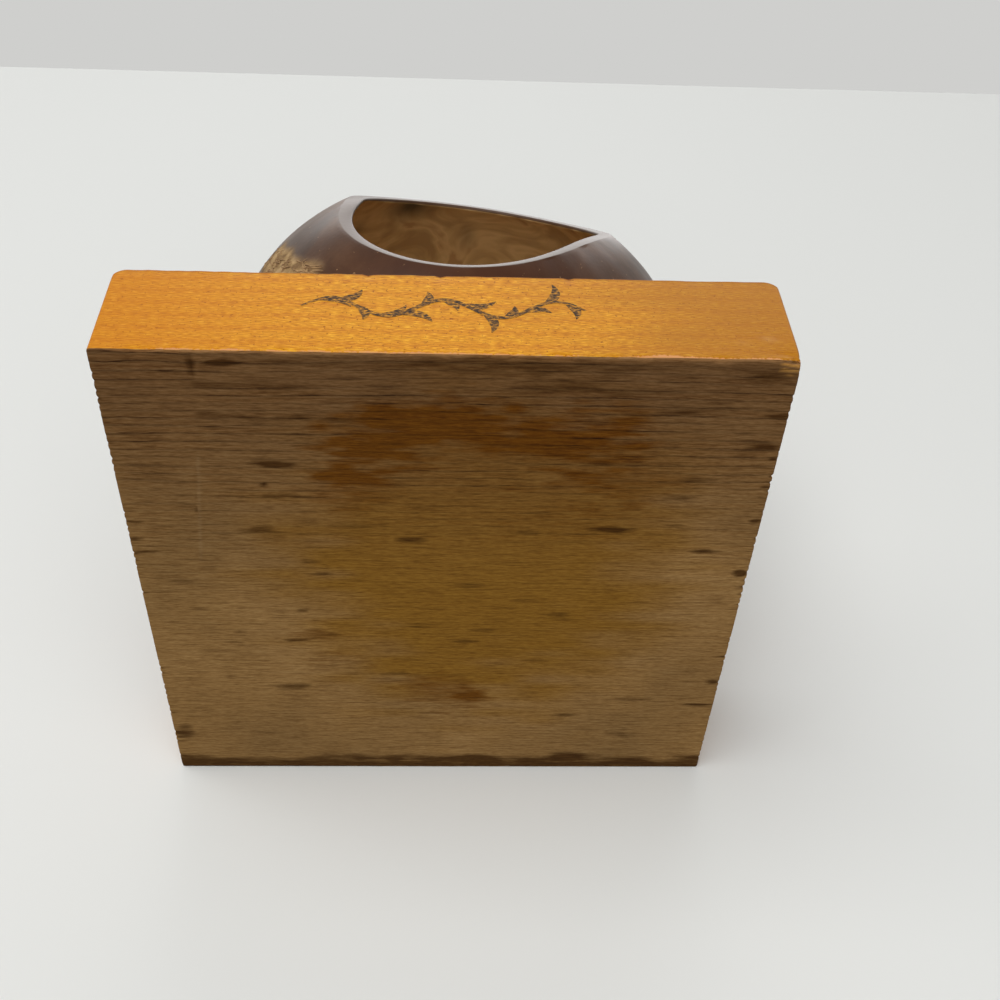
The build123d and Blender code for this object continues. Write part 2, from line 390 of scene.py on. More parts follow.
flecks = add(tree, "ShaderNodeTexNoise", {"Vector": short_grain.outputs[0], "Scale": 1.3,
             "Detail": 5, "Roughness": 0.6})
specks = add(tree, "ShaderNodeTexNoise", {"Vector": mm, "Scale": 1 / SPECK_PITCH,
             "Detail": 2})
clouds = add(tree, "ShaderNodeTexNoise", {"Vector": mm, "Scale": 0.035, "Detail": 3})

# Bare side: the stains ran along the grain, so their edges are feathered by it. The wood's
# fine lines and fuzz darken it all, and the saw's furrows add painted shade and highlight,
# each a broken dark groove of painted shade with a paler painted-highlight lip beside it
feathered = dict(marks)
for label in ("amber", "dark"):
    run = add(tree, "ShaderNodeMath", {0: flecks.outputs[0], 1: 0.8, 2: marks[label]},
              operation="MULTIPLY_ADD")
    feathered[label] = add(tree, "ShaderNodeMapRange", {0: run.outputs[0], 1: 0.52, 2: 0.98,
                           4: 0.9}).outputs[0]
bare = add(tree, "ShaderNodeValToRGB", {"Fac": clouds.outputs[0]},
           stops=[(0.30, "ac8856"), (0.52, "be965e"), (0.72, "cda46a")]).outputs[0]
# The front end's colour is partly painted shade, and dark holds a band of painted shade along the
# back edge
for label, colour in (("soaked", "b0802c"), ("front_end_stain_and_shade", "846040"), ("amber", "845008"),
                      ("dark", "54340e"), ("pale", "d8bd92"), ("fresh", "e8b060")):
    bare = add(tree, "ShaderNodeMix", {0: feathered[label], 6: bare, 7: linear(colour)},
               data_type="RGBA").outputs[2]
line_tone = add(tree, "ShaderNodeValToRGB", {"Fac": lines.outputs[0]},
                stops=[(0.34, "ab9c88"), (0.50, "eee6da"), (0.66, "ffffff")])
fuzz_tone = add(tree, "ShaderNodeValToRGB", {"Fac": dashes.outputs[0]},
                stops=[(0.34, "c4b8a8"), (0.62, "ffffff")])
# Saw furrows: a dark groove of painted shade and a pale lip of painted highlight along each one
saw_place = add(tree, "ShaderNodeMath", {0: flecks.outputs[0], 1: 0.6, 2: marks["saw_count"]},
                operation="MULTIPLY_ADD")
saw_part = add(tree, "ShaderNodeMath", {0: saw_place.outputs[0]}, operation="FRACT")
saw_furrow_shade_and_highlight = add(tree, "ShaderNodeValToRGB", {"Fac": saw_part.outputs[0]},
               stops=[(0.06, "7a644c"), (0.13, "ffffff"), (0.24, "ece2d4"), (0.88, "e2d6c6"),
                      (0.97, "6a5440")])
saw_broken = add(tree, "ShaderNodeMapRange", {0: lines.outputs[0], 1: 0.62, 2: 0.40, 3: 0.15})
saw_share = add(tree, "ShaderNodeMath", {0: saw_broken.outputs[0], 1: marks["furrow"]},
                operation="MULTIPLY")
for share, tone in ((0.7, line_tone), (0.6, fuzz_tone), (saw_share.outputs[0], saw_furrow_shade_and_highlight)):
    bare = add(tree, "ShaderNodeMix", {0: share, 6: bare, 7: tone.outputs[0]},
               data_type="RGBA", blend_type="MULTIPLY").outputs[2]

# Varnished side: bright fibres show as short dashes, over faint growth rings and dust specks
lacquer = add(tree, "ShaderNodeValToRGB", {"Fac": dashes.outputs[0]},
              stops=[(0.34, "bc760c"), (0.49, "d38b12"), (0.60, "e2a01e"), (0.74, "f4bc3e")])
ring_tone = add(tree, "ShaderNodeValToRGB", {"Fac": rings.outputs[0]},
                stops=[(0.0, "ffffff"), (0.65, "fff6e6"), (1.0, "e6c49a")])
speck_tone = add(tree, "ShaderNodeValToRGB", {"Fac": specks.outputs[0]},
                 stops=[(0.30, "a87c48"), (0.38, "ffffff"), (0.9, "ffffff")])
lacquer = lacquer.outputs[0]
for share, tone in ((0.4, ring_tone), (0.8, speck_tone)):
    lacquer = add(tree, "ShaderNodeMix", {0: share, 6: lacquer, 7: tone.outputs[0]},
                  data_type="RGBA", blend_type="MULTIPLY").outputs[2]
# The two ends' colours are painted shade, darker towards each end
for label, colour in (("left_end_painted_shade", "c27212"), ("right_end_painted_shade", "a06410"),
                      ("top_line", "7c3c0c"), ("scratch", "f0d0a0")):
    lacquer = add(tree, "ShaderNodeMix", {0: marks[label], 6: lacquer, 7: linear(colour)},
                  data_type="RGBA").outputs[2]

# Where the two meet, and where the edge is worn, the change is broken up as the fibres tore
torn = {}
for label, grain in (("bare", flecks), ("worn", specks)):
    either = add(tree, "ShaderNodeMath", {0: marks[label], 1: grain.outputs[0]},
                 operation="ADD")
    torn[label] = add(tree, "ShaderNodeMapRange", {0: either.outputs[0], 1: 0.92, 2: 1.08})
lacquer = add(tree, "ShaderNodeMix", {0: torn["worn"].outputs[0], 6: lacquer,
              7: linear("d2925a")}, data_type="RGBA").outputs[2]
wood = add(tree, "ShaderNodeMix", {0: torn["bare"].outputs[0], 6: lacquer, 7: bare},
           data_type="RGBA")
gloss = add(tree, "ShaderNodeMapRange", {0: marks["dull"], 3: 0.4, 4: 0.9})
relief = add(tree, "ShaderNodeMath", {0: lines.outputs[0], 1: dashes.outputs[0]},
             operation="ADD")
bump = add(tree, "ShaderNodeBump", {"Height": relief.outputs[0], "Strength": 0.35,
           "Distance": 0.06 * MM})
tree.links.new(wood.outputs[2], shader.inputs["Base Color"])
tree.links.new(gloss.outputs[0], shader.inputs["Roughness"])
tree.links.new(bump.outputs[0], shader.inputs["Normal"])
shader.inputs["Specular IOR Level"].default_value = 0.12

board = make_piece("pine_board", np.stack([x, y, z], 1), board_faces.tolist(), pine,
                   board_marks)
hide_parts("base_board")

# Ornament on the front.
# A small leafy sprig in black ink, drawn with a brush on the board's front face before the
# varnish, and now rubbed thin. It is a hair's breadth of ink, on the flat of the face.
INK_PROUD = 0.04
SPRIG_LEFT, SPRIG_RIGHT = -21.5, 20.0
SPRIG_MIDDLE, SPRIG_RISE, SPRIG_WAVES = 11.3, 2.1, 2.5
STEM_WIDTH = 0.8
LEAF_COUNT = 13
LEAF_LONG, LEAF_WIDE = 5.0, 1.4
LEAF_LEAST = 0.12             # width of the brush line at a leaf's two ends
STEM_STATIONS, LEAF_STATIONS = 160, 22


def stem_height(along_x):
    """The sprig's stem is a sine wave along X about its middle height."""
    part = (along_x - SPRIG_LEFT) / (SPRIG_RIGHT - SPRIG_LEFT)
    return SPRIG_MIDDLE + SPRIG_RISE * np.sin(2 * np.pi * SPRIG_WAVES * part)


def stroke(line_x, line_z, width, proud, first):
    """A flat ribbon just off the front face: two points a station, across its direction."""
    slope = np.stack([np.gradient(line_x), np.gradient(line_z)], 1)
    slope /= np.linalg.norm(slope, axis=1)[:, None]
    out_x, out_z = -slope[:, 1] * width / 2, slope[:, 0] * width / 2
    depth = np.full_like(line_x, -BOARD_HALF - proud)
    upper_edge = np.stack([line_x + out_x, depth, line_z + out_z], 1)
    lower_edge = np.stack([line_x - out_x, depth, line_z - out_z], 1)
    ribbon = np.stack([upper_edge, lower_edge], 1).reshape(-1, 3)
    return ribbon, grid_quads(len(line_x), 2)[:, ::-1] + first


along_stem = np.linspace(SPRIG_LEFT, SPRIG_RIGHT, STEM_STATIONS)
stem_taper = STEM_WIDTH * np.sin(np.pi * np.linspace(0.04, 0.96, STEM_STATIONS)) ** 0.35
strokes = [(along_stem, stem_height(along_stem), stem_taper)]
along_leaf = np.linspace(0, 1, LEAF_STATIONS)
leaf_taper = LEAF_WIDE * np.sin(np.pi * along_leaf**0.8) ** 0.9 + LEAF_LEAST
for leaf in range(LEAF_COUNT):
    root_x = SPRIG_LEFT + 2.2 + leaf * (SPRIG_RIGHT - SPRIG_LEFT - 5.2) / (LEAF_COUNT - 1)
    stem_rise = stem_height(root_x + 0.1) - stem_height(root_x - 0.1)
    side = 1 if leaf % 2 else -1
    slant = math.atan2(stem_rise, 0.2) + side * math.radians(46 + 9 * math.sin(2.3 * leaf))
    size = LEAF_LONG * (0.85 + 0.2 * math.cos(1.7 * leaf))
    curl = 0.8 * side * along_leaf * (1 - along_leaf)
    leaf_x = root_x + size * (along_leaf * math.cos(slant) + curl * math.sin(slant))
    leaf_z = stem_height(root_x) + size * (along_leaf * math.sin(slant) - curl * math.cos(slant))
    strokes.append((leaf_x, leaf_z, leaf_taper))
ink_points, ink_faces, placed = [], [], 0
for order, (line_x, line_z, width) in enumerate(strokes):
    proud = INK_PROUD * (1 - 0.04 * order)   # no two strokes lie in one plane
    ribbon, quads = stroke(line_x, line_z, width, proud, placed)
    ink_points.append(ribbon)
    ink_faces += quads.tolist()
    placed += len(ribbon)

# Drawing ink under worn varnish: near black where it is whole, brown where it has rubbed off
ink, tree, shader, mm = new_material("black_ink_rubbed_thin")
rubbed = add(tree, "ShaderNodeVectorMath", {0: mm, 1: (0.4, 1, 1)}, operation="MULTIPLY")
wear = add(tree, "ShaderNodeTexNoise", {"Vector": rubbed.outputs[0], "Scale": 2.8,
           "Detail": 4, "Roughness": 0.7})
ink_tone = add(tree, "ShaderNodeValToRGB", {"Fac": wear.outputs[0]},
               stops=[(0.38, "241608"), (0.47, "4e3412"), (0.55, "946420"), (0.62, "d6921c")])
tree.links.new(ink_tone.outputs[0], shader.inputs["Base Color"])
shader.inputs["Roughness"].default_value = 0.42
shader.inputs["Specular IOR Level"].default_value = 0.12
make_piece("leaf_sprig_ink", np.vstack(ink_points), ink_faces, ink)

# Coconut shell.
# The hard shell of a small coconut about 92 mm across, sawn open at the front, with the two
# edges of the cut eased and the outside sanded and polished. It is ground flat and glued down.
SHELL_CENTRE = np.array([1.7, 1.0, 65.6])
SHELL_TILT, SHELL_TURN = math.radians(23.5), math.radians(4.6)  # mouth looks up and right
SHELL_ROUND = 46.0            # radius at the widest ring, and of the ball behind it
SHELL_NOSE = 36.0             # from the widest ring to where the tip was
SHELL_WALL = 3.2
LIP_WALL = 2.0                # at the mouth, where the inside was scraped thinner
LIP_ROUND = 0.45              # of the two edges of the saw cut round the mouth
SHELL_SEAT = 20.4             # height of the ground flat
OVAL, OVAL_TURN = -0.022, math.radians(-9)             # share of the radius, and its angle
THREE_SIDED, THREE_TURN = 0.024, math.radians(-124)    # the same for the three-sided form
RIM_REACH = 27.7              # of the cut mouth along the axis, and its uneven saw line
RIM_WAVES = {1: (-0.6, 0.8), 2: (1.4, -0.8), 3: (-0.4, -0.5)}
AXIS = np.array([math.sin(SHELL_TURN) * math.cos(SHELL_TILT),
                 -math.cos(SHELL_TURN) * math.cos(SHELL_TILT), math.sin(SHELL_TILT)])
SIDEWAYS = np.array([math.cos(SHELL_TURN), math.sin(SHELL_TURN), 0.0])
UPWARDS = np.cross(AXIS, SIDEWAYS)
ROUND_COUNT = 300
BALL_ROWS, FRONT_ROWS, LIP_ROWS = 58, 52, 19
HUSK_FROM, HUSK_TO = math.radians(186), math.radians(228)
HUSK_ALONG, HUSK_HALF = 19.0, 3.2
HUSK_FADE = 0.12              # radians in which its two ends thin out


def shell_sides(around):
    """How much wider or narrower than a circle the coconut is, at an angle round its axis."""
    oval = OVAL * np.cos(2 * (around - OVAL_TURN))
    three = THREE_SIDED * np.cos(3 * (around - THREE_TURN))
    return oval + three


def rim_line(around):
    """How far along the axis the mouth was cut, at an angle round it."""
    waves = (a * np.cos(n * around) + b * np.sin(n * around)
             for n, (a, b) in RIM_WAVES.items())
    return RIM_REACH + sum(waves)


def shell_place(around, reach, radius):
    """The point at an angle round the axis, a reach along it and a radius from it. The oval
    and three-sided form fades out towards the back, where the shell is a ball."""
    fade = step(reach, -12, 16)
    radius = radius * (1 + fade * shell_sides(around))
    out = np.cos(around)[..., None] * SIDEWAYS + np.sin(around)[..., None] * UPWARDS
    return SHELL_CENTRE + reach[..., None] * AXIS + radius[..., None] * out


def profile(angle, inset):
    """Reach and radius on the shell at an angle from its widest ring: a ball behind it and an
    ellipse in front, moved inwards along the normal by the inset."""
    nose = np.where(angle > 0, SHELL_NOSE, SHELL_ROUND)
    reach, radius = nose * np.sin(angle), SHELL_ROUND * np.cos(angle)
    normal_reach, normal_radius = reach / nose**2, radius / SHELL_ROUND**2
    length = np.hypot(normal_reach, normal_radius)
    normal_reach, normal_radius = normal_reach / length, normal_radius / length
    return (reach - inset * normal_reach, radius - inset * normal_radius,
            normal_reach, normal_radius)


def angle_at(reach, inset):
    """The angle from the widest ring at which the shell, moved inwards by the inset, comes to
    this reach: read off a fine table of the profile."""
    angles = np.linspace(0, np.pi / 2, 800)
    return np.interp(reach, profile(angles, inset)[0], angles)


# The mouth is a flat saw cut, and each of its two edges is rounded about a point inside it:
# the lip's points turn about the outer one, cross the flat, and turn about the inner one
around = np.arange(ROUND_COUNT) * 2 * np.pi / ROUND_COUNT
cut_reach = rim_line(around) - LIP_ROUND
outer_end = angle_at(cut_reach, LIP_ROUND)
inner_end = angle_at(cut_reach, LIP_WALL - LIP_ROUND)
outer_centre, outer_forward, outer_aside = profile(outer_end, LIP_ROUND)[1:]
inner_centre, inner_forward, inner_aside = profile(inner_end, LIP_WALL - LIP_ROUND)[1:]
first_lean = np.arctan2(outer_aside, outer_forward)
last_lean = np.arctan2(inner_aside, inner_forward) - np.pi
lean = first_lean + (last_lean - first_lean) * np.linspace(0, 1, LIP_ROWS)[1:-1, None]
lip_reach = cut_reach + LIP_ROUND * np.cos(lean)
lip_radius = np.where(lean > 0, outer_centre, inner_centre) + LIP_ROUND * np.sin(lean)

back_angles = np.linspace(-np.pi / 2, 0, BALL_ROWS, endpoint=False)[1:]
front_share = np.linspace(0, 1, FRONT_ROWS)[:, None]
wide_back = np.broadcast_to(back_angles[:, None], (len(back_angles), ROUND_COUNT))
outer_angles = np.vstack([wide_back, front_share * outer_end])
inner_angles = np.vstack([wide_back, front_share * inner_end])[::-1]
scraped = np.vstack([0 * back_angles[:, None], step(front_share, 0.6, 1)])[::-1]
wall = SHELL_WALL + (LIP_WALL - SHELL_WALL) * scraped
outer_reach, outer_radius = profile(outer_angles, 0)[:2]
inner_reach, inner_radius = profile(inner_angles, wall)[:2]
reach = np.vstack([outer_reach, lip_reach, inner_reach])
radius = np.vstack([outer_radius, lip_radius, inner_radius])
rows = len(reach)
turn = np.broadcast_to(around, (rows, ROUND_COUNT))
row = np.arange(rows)[:, None] + np.zeros((1, ROUND_COUNT))
outer_rows, lip_end = len(outer_reach), len(outer_reach) + len(lip_reach)
inside = step(row, lip_end - 6, lip_end - 1)
lip = step(row, outer_rows - 1, outer_rows + 1) * (1 - step(row, lip_end - 2, lip_end + 1))

# A painted highlight pales the mouth's lower half: all of its outer edge, and the middle of its
# inner one
before_flat = np.vstack([np.ones_like(outer_reach), lean > 0, np.zeros_like(inner_reach)])
outer_edge_highlight = step(-np.sin(turn), -0.35, 0.25)
inner_edge_highlight = step(-np.sin(turn), 0.35, 0.85)
near_rim_painted_highlight = np.where(before_flat > 0, outer_edge_highlight, inner_edge_highlight)

# Husk left on the left side near the mouth, and low waves all over from hand sanding
husk_start = step(turn, HUSK_FROM, HUSK_FROM + HUSK_FADE)
husk_around = husk_start * (1 - step(turn, HUSK_TO - HUSK_FADE, HUSK_TO))
husk_edge = HUSK_HALF * (1 + 0.35 * wander(turn * 9, turn * 0 + 1.5, 31))
husk_along = 1 - step(abs(reach - HUSK_ALONG), husk_edge * 0.6, husk_edge * 1.15)
husk = husk_around * husk_along * (1 - inside)
ripple_u, ripple_v = 9 * np.cos(turn) + 40, 9 * np.sin(turn) + 40
ripple = 0.12 * wander(ripple_u + reach / 9, ripple_v, 32) * (1 - lip)
fibre = 0.3 * husk * (0.7 + 0.6 * wander(turn * 46, reach / 1.1, 33))
rough_inside = 0.16 * inside * wander(ripple_u * 1.7, ripple_v * 1.7 + reach / 5, 34)
shell_grid = shell_place(turn, reach, radius + ripple * (1 - inside) + fibre + rough_inside)
outer_pole = SHELL_CENTRE - SHELL_ROUND * AXIS
inner_pole = SHELL_CENTRE - (SHELL_ROUND - SHELL_WALL) * AXIS
shell_points = np.vstack([shell_grid.reshape(-1, 3), outer_pole, inner_pole])
outer_mask = np.append((row < outer_rows).ravel(), [True, False])
ground = np.maximum(shell_points[:, 2], SHELL_SEAT)
shell_points[:, 2] = np.where(outer_mask, ground, shell_points[:, 2])
ring = np.arange(ROUND_COUNT)
next_ring = (ring + 1) % ROUND_COUNT
last_row = (rows - 1) * ROUND_COUNT
pole = rows * ROUND_COUNT
outer_fan = np.stack([next_ring, ring, ring * 0 + pole], 1)
inner_fan = np.stack([last_row + ring, last_row + next_ring, ring * 0 + pole + 1], 1)
shell_faces = (grid_quads(rows, ROUND_COUNT, ring=True)[:, ::-1].tolist()
               + outer_fan.tolist() + inner_fan.tolist())


def with_poles(values, outer, inner):
    """One value a grid point, followed by the values at the two poles."""
    return np.append(values.ravel(), [outer, inner])


skin = np.stack([SHELL_ROUND * np.cos(turn), SHELL_ROUND * np.sin(turn), reach], -1)
skin = np.vstack([skin.reshape(-1, 3), [0, 0, -SHELL_ROUND], [0, 0, -SHELL_ROUND]])
below_mouth = np.exp(-((np.angle(np.exp(1j * (turn + np.pi / 2)))) / 0.9) ** 2)

# Dark marks inside: degrees round the axis, reach along it, half sizes of both, and strength
MOULD = [(113, 27, 9, 3.5, 1.1), (131, 19, 3, 4, 0.55), (100, 9, 5, 2, 0.5),
         (86, 20, 3, 3, 0.45), (58, 12, 8, 1.5, 0.45), (70, -8, 9, 6, 0.4)]
mould = sum(amount * np.exp(-(((turn - math.radians(place)) / math.radians(half_turn)) ** 2
                              + ((reach - along) / half_along) ** 2))
            for place, along, half_turn, half_along, amount in MOULD)
shell_marks = {
    "inside": with_poles(inside, 0.0, 1.0),
    "cut": with_poles(0.9 * lip, 0.0, 0.0),
    # painted highlight along the lower half of the mouth's edge
    "lip": with_poles(0.85 * lip * near_rim_painted_highlight, 0.0, 0.0),
    "husk": with_poles(husk, 0.0, 0.0),
    "mould": with_poles(np.clip(0.8 * mould * inside, 0, 0.85), 0.0, 0.0),
    "red": with_poles(0.8 * below_mouth * (1 - inside), 0.0, 0.0),
    "skin": skin,
}

# Coconut shell, sanded and polished: dark red-brown, with faint streaks from base to mouth,
# pale flecks and a waxy gloss. Its inside is scraped, olive-tan and blotched, and the polished
# outer edge of the lip is paler on the mouth's lower half with a painted highlight.
STREAK_PITCH = 1.3            # mm round the shell
coconut, tree, shader, mm = new_material("coconut_shell_sanded_and_polished")
marks = {label: add(tree, "ShaderNodeAttribute", attribute_name=label).outputs["Fac"]
         for label in ("inside", "cut", "lip", "husk", "mould", "red")}
skin_place = add(tree, "ShaderNodeAttribute", attribute_name="skin").outputs["Vector"]
streak_place = add(tree, "ShaderNodeVectorMath", {0: skin_place, 1: (1, 1, 0.12)},
                   operation="MULTIPLY")
streaks = add(tree, "ShaderNodeTexNoise", {"Vector": streak_place.outputs[0],
              "Scale": 1 / STREAK_PITCH, "Detail": 3, "Roughness": 0.6})
blotches = add(tree, "ShaderNodeTexNoise", {"Vector": mm, "Scale": 0.07, "Detail": 4,
               "Roughness": 0.6, "Distortion": 0.8})
leafy = add(tree, "ShaderNodeTexNoise", {"Vector": mm, "Scale": 0.08, "Detail": 3,
            "Roughness": 0.5, "Distortion": 1.4})
pits = add(tree, "ShaderNodeTexNoise", {"Vector": mm, "Scale": 1.1, "Detail": 3})
tufts = add(tree, "ShaderNodeTexNoise", {"Vector": mm, "Scale": 0.4, "Detail": 5,
            "Roughness": 0.6})
all_tone = add(tree, "ShaderNodeValToRGB", {"Fac": blotches.outputs[0]},
               stops=[(0.32, "3c2816"), (0.52, "533822"), (0.72, "6c4d32")]).outputs[0]
streak_tone = add(tree, "ShaderNodeValToRGB", {"Fac": streaks.outputs[0]},
                  stops=[(0.34, "b8aca2"), (0.52, "ffffff"), (0.70, "fff2e0")])
all_tone = add(tree, "ShaderNodeMix", {0: 0.22, 6: all_tone, 7: streak_tone.outputs[0]},
               data_type="RGBA", blend_type="MULTIPLY").outputs[2]
fleck_part = add(tree, "ShaderNodeMapRange", {0: pits.outputs[0], 1: 0.70, 2: 0.76, 4: 0.7})
husk_tone = add(tree, "ShaderNodeValToRGB", {"Fac": tufts.outputs[0]},
                stops=[(0.36, "7e6242"), (0.50, "a08258"), (0.64, "bc9c70")])
inner_tone = add(tree, "ShaderNodeValToRGB", {"Fac": leafy.outputs[0]},
                 stops=[(0.36, "b08c5a"), (0.47, "c49f68"), (0.55, "d4af76"), (0.66, "b88f5c")])
inner_tone = add(tree, "ShaderNodeMix", {0: marks["mould"], 6: inner_tone.outputs[0],
                 7: linear("24261a")}, data_type="RGBA")
# The lip's pale tone is a painted highlight on the mouth's lower edge
for share, tone in ((marks["red"], linear("43200a")),
                    (fleck_part.outputs[0], linear("b08a62")),
                    (marks["husk"], husk_tone.outputs[0]),
                    (marks["cut"], linear("4a3220")),
                    (marks["lip"], linear("5e4c40")),
                    (marks["inside"], inner_tone.outputs[2])):
    all_tone = add(tree, "ShaderNodeMix", {0: share, 6: all_tone, 7: tone},
                   data_type="RGBA").outputs[2]
gloss = add(tree, "ShaderNodeMapRange", {0: marks["inside"], 3: 0.34, 4: 0.65})
matt = add(tree, "ShaderNodeMix", {0: marks["husk"], 2: gloss.outputs[0], 3: 0.9})
bump = add(tree, "ShaderNodeBump", {"Height": pits.outputs[0], "Strength": 0.25,
           "Distance": 0.08 * MM})
tree.links.new(all_tone, shader.inputs["Base Color"])
tree.links.new(matt.outputs[0], shader.inputs["Roughness"])
tree.links.new(bump.outputs[0], shader.inputs["Normal"])
shader.inputs["Specular IOR Level"].default_value = 0.2

shell = make_piece("polished_coconut_shell", shell_points, shell_faces, coconut,
                   shell_marks)
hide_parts("coconut_shell", "coconut_shell_floor")

# Husk fibres.
# Short brown threads of the coconut's husk that the sanding missed, lying flat in a patch on
# the shell's left side near the mouth and still grown to it.
FIBRE_COUNT = 70
FIBRE_STEPS = 7
FIBRE_SIDES = 4
FIBRE_RADIUS = 0.09
FIBRE_PROUD = 0.28            # of a thread's ends over the shell's plain form
FIBRE_SEED = 41
HUSK_RADIUS = 38.0            # about how far the patch stands from the shell's axis

draw = np.random.default_rng(FIBRE_SEED)
start_around = draw.uniform(HUSK_FROM + HUSK_FADE / 2, HUSK_TO - HUSK_FADE / 2, FIBRE_COUNT)
start_reach = HUSK_ALONG + draw.uniform(-2.2, 2.2, FIBRE_COUNT)
heading = draw.uniform(-0.7, 0.7, FIBRE_COUNT)
length = draw.uniform(1.4, 3.4, FIBRE_COUNT)
hump = draw.uniform(0.02, 0.16, FIBRE_COUNT)
along_fibre = np.linspace(-0.5, 0.5, FIBRE_STEPS)
fibre_reach = start_reach[:, None] + (length * np.sin(heading))[:, None] * along_fibre
fibre_around = (start_around[:, None]
                + (length * np.cos(heading) / HUSK_RADIUS)[:, None] * along_fibre
                + 0.02 * np.sin(5 * along_fibre + 3 * start_around[:, None]))
fibre_angle = np.arcsin(fibre_reach / SHELL_NOSE)
base_radius = profile(fibre_angle, 0)[1]
rise = FIBRE_PROUD + hump[:, None] * (1 - 4 * along_fibre**2)
line = shell_place(fibre_around, fibre_reach, base_radius + rise)
away = shell_place(fibre_around, fibre_reach, base_radius + rise + 1) - line
away /= np.linalg.norm(away, axis=-1, keepdims=True)
forward = np.gradient(line, axis=1)
forward /= np.linalg.norm(forward, axis=-1, keepdims=True)
sideways = np.cross(forward, away)
thin = FIBRE_RADIUS * (1 - 3.2 * abs(along_fibre) ** 3)[None, :, None, None]
phase = (np.arange(FIBRE_SIDES) * 2 * np.pi / FIBRE_SIDES)[None, None, :, None]
tubes = (line[:, :, None] + thin * (np.cos(phase) * away[:, :, None]
                                    + np.sin(phase) * sideways[:, :, None]))
per_fibre = FIBRE_STEPS * FIBRE_SIDES
one_tube = grid_quads(FIBRE_STEPS, FIBRE_SIDES, ring=True)
offsets = np.arange(FIBRE_COUNT)[:, None, None] * per_fibre
cap = np.arange(FIBRE_SIDES)
caps = np.stack([cap, per_fibre - 1 - cap])
fibre_faces = ((one_tube[None] + offsets).reshape(-1, 4).tolist()
               + (caps[None] + offsets).reshape(-1, 4).tolist())

# Coir, the husk's own fibre: dull, dry and pale brown, each thread a little different
coir, tree, shader, mm = new_material("coir_fibre")
threads = add(tree, "ShaderNodeTexNoise", {"Vector": mm, "Scale": 0.9, "Detail": 2})
coir_tone = add(tree, "ShaderNodeValToRGB", {"Fac": threads.outputs[0]},
                stops=[(0.35, "8a6844"), (0.5, "a58258"), (0.68, "bd9a6c")])
tree.links.new(coir_tone.outputs[0], shader.inputs["Base Color"])
shader.inputs["Roughness"].default_value = 0.85
make_piece("husk_fibres", tubes.reshape(-1, 3), fibre_faces, coir)

# Glue bed.
# Amber glue that squeezed out in an uneven ring under the shell's ground flat, and set hard
# on the board round it. The shell stands in it, and the screw goes down through it.
GLUE_TOUCH = 13.2             # radius where the ring meets the shell, on the board
GLUE_FOOT = 1.8               # of the ring beyond that
GLUE_INNER = 9.0              # radius of the ring's top, out of sight under the shell
GLUE_HIGH = 1.6
GLUE_LIFT = 0.02              # keeps it just off the board's top face
GLUE_CENTRE = (1.7, 1.0)
GLUE_ROUND, GLUE_ROWS = 220, 14

glue_turn = np.arange(GLUE_ROUND) * 2 * np.pi / GLUE_ROUND
u, v = 3 * np.cos(glue_turn) + 20, 3 * np.sin(glue_turn) + 20
wave_out = 0.35 * wander(u * 1.5, v * 1.5, 51) - 0.3
wave_up = 0.18 * wander(u, v, 52) - 0.15
slide = np.linspace(0, np.pi / 2, GLUE_ROWS)[:, None]
foot = GLUE_TOUCH + GLUE_FOOT + wave_out
swell_radius = GLUE_INNER + (foot - GLUE_INNER) * np.cos(slide) ** 0.7
swell_height = GLUE_LIFT + (GLUE_HIGH + wave_up) * np.sin(slide) ** 0.8
glue_grid = np.stack([GLUE_CENTRE[0] + swell_radius * np.cos(glue_turn),
                      GLUE_CENTRE[1] + swell_radius * np.sin(glue_turn),
                      BOARD_HIGH + swell_height + 0 * swell_radius], -1)
under_shell = np.array([GLUE_CENTRE[0], GLUE_CENTRE[1], BOARD_HIGH + GLUE_HIGH - 0.2])
below = np.array([GLUE_CENTRE[0], GLUE_CENTRE[1], BOARD_HIGH + GLUE_LIFT])
glue_points = np.vstack([glue_grid.reshape(-1, 3), under_shell, below])
loop = np.arange(GLUE_ROUND)
next_loop = (loop + 1) % GLUE_ROUND
glue_top = (GLUE_ROWS - 1) * GLUE_ROUND
glue_pole = GLUE_ROWS * GLUE_ROUND
top_fan = np.stack([glue_top + loop, glue_top + next_loop, loop * 0 + glue_pole], 1)
under_fan = np.stack([next_loop, loop, loop * 0 + glue_pole + 1], 1)
glue_faces = (grid_quads(GLUE_ROWS, GLUE_ROUND, ring=True)[:, ::-1].tolist()
              + top_fan.tolist() + under_fan.tolist())

# Hide glue, dried: clear deep amber with a hard gloss and a few dusty bubbles
glue_look, tree, shader, mm = new_material("amber_glue_dried")
dust = add(tree, "ShaderNodeTexNoise", {"Vector": mm, "Scale": 0.5, "Detail": 3})
glue_tone = add(tree, "ShaderNodeValToRGB", {"Fac": dust.outputs[0]},
                stops=[(0.35, "6a3c10"), (0.55, "8f5a1c"), (0.72, "b5813a")])
glue_bump = add(tree, "ShaderNodeBump", {"Height": dust.outputs[0], "Strength": 0.3,
                "Distance": 0.2 * MM})
tree.links.new(glue_tone.outputs[0], shader.inputs["Base Color"])
tree.links.new(glue_bump.outputs[0], shader.inputs["Normal"])
shader.inputs["Roughness"].default_value = 0.22
glue = make_piece("squeezed_out_glue", glue_points, glue_faces, glue_look)
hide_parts("glue_bed")

